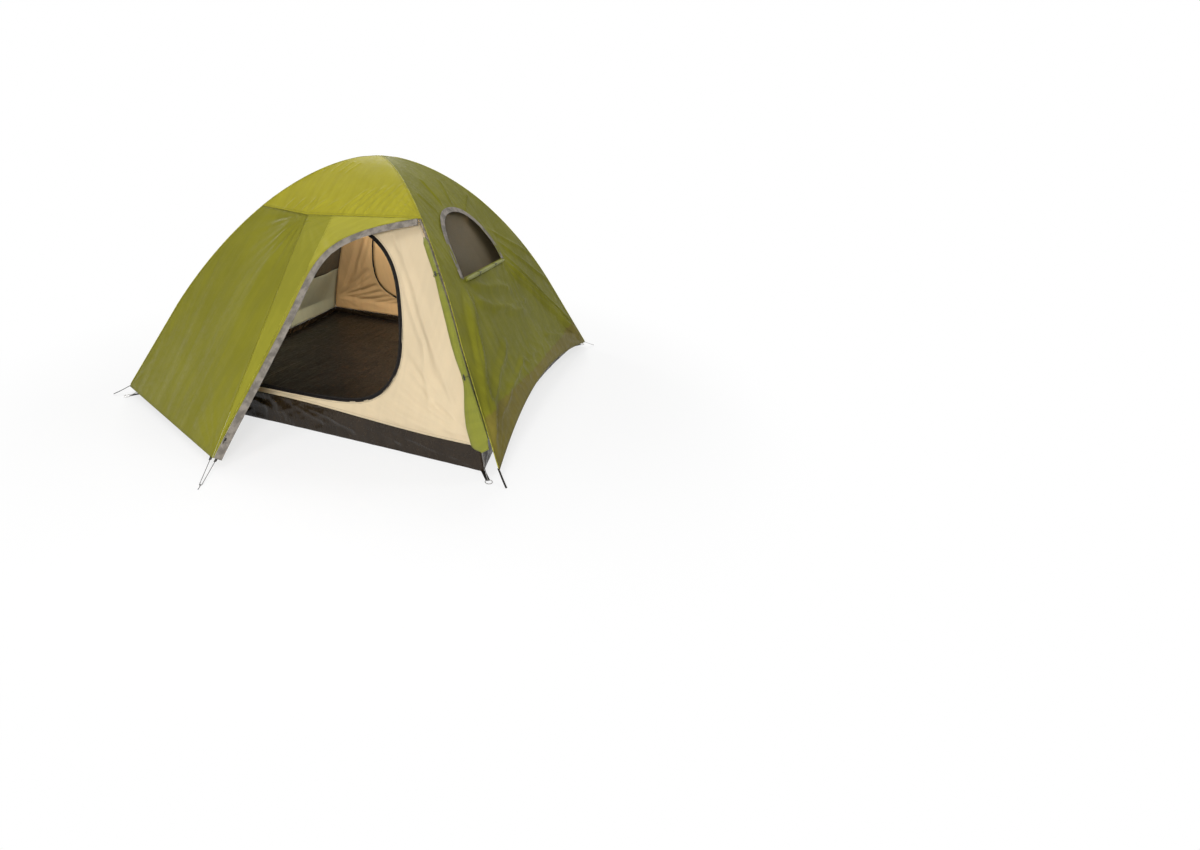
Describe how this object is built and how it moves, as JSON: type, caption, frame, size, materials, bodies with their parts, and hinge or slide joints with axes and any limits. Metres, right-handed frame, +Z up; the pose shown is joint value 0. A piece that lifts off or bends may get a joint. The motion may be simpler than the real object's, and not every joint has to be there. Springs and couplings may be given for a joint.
{
  "type": "dome tent",
  "caption": "Two-pole dome tent with a pegged-out flysheet, an inner tent with a tub floor, zipped doors front and rear, and side windows.",
  "frame": {"origin": "on the ground under the tent's middle, at the centre of its bounding box", "axes": "+Z up from the ground, -Y out of the front doorway (the one that stands open), +X to the right of someone who looks at that doorway"},
  "size_m": [2.3766, 3.1352, 1.3127],
  "materials": {
    "fly_green": "semi-matt coated cloth",
    "cap_green": "semi-matt coated cloth, lighter in the light",
    "roll_green": "semi-matt coated cloth, rolled",
    "cream_cloth": "matt woven",
    "grey_green_cloth": "matt woven",
    "dark_mesh": "fine net",
    "black_tub": "shiny coated cloth",
    "zip_grey": "matt tape",
    "black_trim": "matt",
    "black_webbing": "matt webbing",
    "sleeve_grey": "matt woven",
    "pole_grey": "semi-gloss glass fibre",
    "bright_steel": "bright",
    "cord_grey": "braided"
  },
  "bodies": {
    "pitched_tent": {"corner_webbing_front_left": "black_webbing", "corner_webbing_front_right": "black_webbing", "corner_webbing_rear_left": "black_webbing", "corner_webbing_rear_right": "black_webbing", "door_roll_toggle_1": "black_trim", "door_roll_toggle_2": "black_trim", "fly_front_cap": "cap_green", "fly_front_door_rolled": "roll_green", "fly_front_zip_band": "zip_grey", "fly_left_side": "fly_green", "fly_rear_cap": "cap_green", "fly_rear_zip_band": "zip_grey", "fly_right_side": "fly_green", "fly_strap_front_left": "black_webbing", "fly_strap_front_right": "black_webbing", "fly_strap_rear_left": "black_webbing", "fly_strap_rear_right": "black_webbing", "groundsheet_tub": "black_tub", "inner_front_door_rolled": "cream_cloth", "inner_front_door_zip": "black_webbing", "inner_front_wall": "cream_cloth", "inner_left_lower_wall": "grey_green_cloth", "inner_left_mesh_wall": "dark_mesh", "inner_rear_door_zip": "black_webbing", "inner_rear_wall": "cream_cloth", "inner_right_lower_wall": "grey_green_cloth", "inner_right_mesh_wall": "dark_mesh", "pole_front_left_section_1": "pole_grey", "pole_front_left_section_2": "pole_grey", "pole_front_left_section_3": "pole_grey", "pole_front_left_section_4": "pole_grey", "pole_front_left_section_5": "pole_grey", "pole_front_right_section_1": "pole_grey", "pole_front_right_section_2": "pole_grey", "pole_front_right_section_3": "pole_grey", "pole_front_right_section_4": "pole_grey", "pole_front_right_section_5": "pole_grey", "pole_sleeve_front_left": "sleeve_grey", "pole_sleeve_front_right": "sleeve_grey", "ring_pin_front_left": "bright_steel", "ring_pin_front_right": "bright_steel", "ring_pin_rear_left": "bright_steel", "ring_pin_rear_right": "bright_steel", "vestibule_front_cord": "cord_grey", "vestibule_front_ridge_panel": "cap_green", "vestibule_front_side_panel": "fly_green", "vestibule_rear_cord": "cord_grey", "vestibule_rear_ridge_panel": "cap_green", "vestibule_rear_side_panel": "fly_green", "window_flap_right_rolled": "fly_green"},
    "rear_fly_door": {"fly_rear_door": "fly_green", "fly_rear_door_vent": "grey_green_cloth"},
    "rear_inner_door": {"inner_rear_door": "cream_cloth"},
    "left_window_flap": {"window_flap_left": "fly_green"},
    "front_fly_zip_slider": {"fly_front_zip_slider": "black_trim"},
    "rear_fly_zip_slider": {"fly_rear_zip_slider": "black_trim"},
    "front_inner_zip_slider": {"inner_front_zip_slider": "black_trim"},
    "rear_inner_zip_slider": {"inner_rear_zip_slider": "black_trim"},
    "front_hook": {"vestibule_front_hook": "bright_steel"},
    "rear_hook": {"vestibule_rear_hook": "bright_steel"}
  },
  "joints": [
    {"name": "rear_fly_door_opens", "type": "hinge", "parent": "pitched_tent", "child": "rear_fly_door", "pos_m": [-1.13, 0.972, 0.04], "axis": [0.4619, -0.3314, 0.8227], "range_deg": [0, 100]},
    {"name": "rear_inner_door_opens", "type": "hinge", "parent": "pitched_tent", "child": "rear_inner_door", "pos_m": [0.30009, 0.88876, 0.18903], "axis": [0, -0.4878, 0.873], "range_deg": [0, 22]},
    {"name": "left_window_flap_drops", "type": "hinge", "parent": "pitched_tent", "child": "left_window_flap", "pos_m": [-0.70991, 0, 0.7623], "axis": [0, -1, 0], "range_deg": [0, 140]},
    {"name": "front_fly_zip_slides", "type": "slide", "parent": "pitched_tent", "child": "front_fly_zip_slider", "axis": [0.0839, 0.6941, 0.715], "range_m": [0, 0.3]},
    {"name": "rear_fly_zip_slides", "type": "slide", "parent": "pitched_tent", "child": "rear_fly_zip_slider", "axis": [-0.0839, -0.6941, 0.715], "range_m": [0, 0.3]},
    {"name": "front_inner_zip_slides", "type": "slide", "parent": "pitched_tent", "child": "front_inner_zip_slider", "axis": [1, 0, 0], "range_m": [0, 0.28]},
    {"name": "rear_inner_zip_slides", "type": "slide", "parent": "pitched_tent", "child": "rear_inner_zip_slider", "axis": [-1, 0, 0], "range_m": [0, 0.28]},
    {"name": "front_hook_lifts", "type": "slide", "parent": "pitched_tent", "child": "front_hook", "axis": [0, 0, 1], "range_m": [0, 0.05]},
    {"name": "rear_hook_lifts", "type": "slide", "parent": "pitched_tent", "child": "rear_hook", "axis": [0, 0, 1], "range_m": [0, 0.05]}
  ]
}
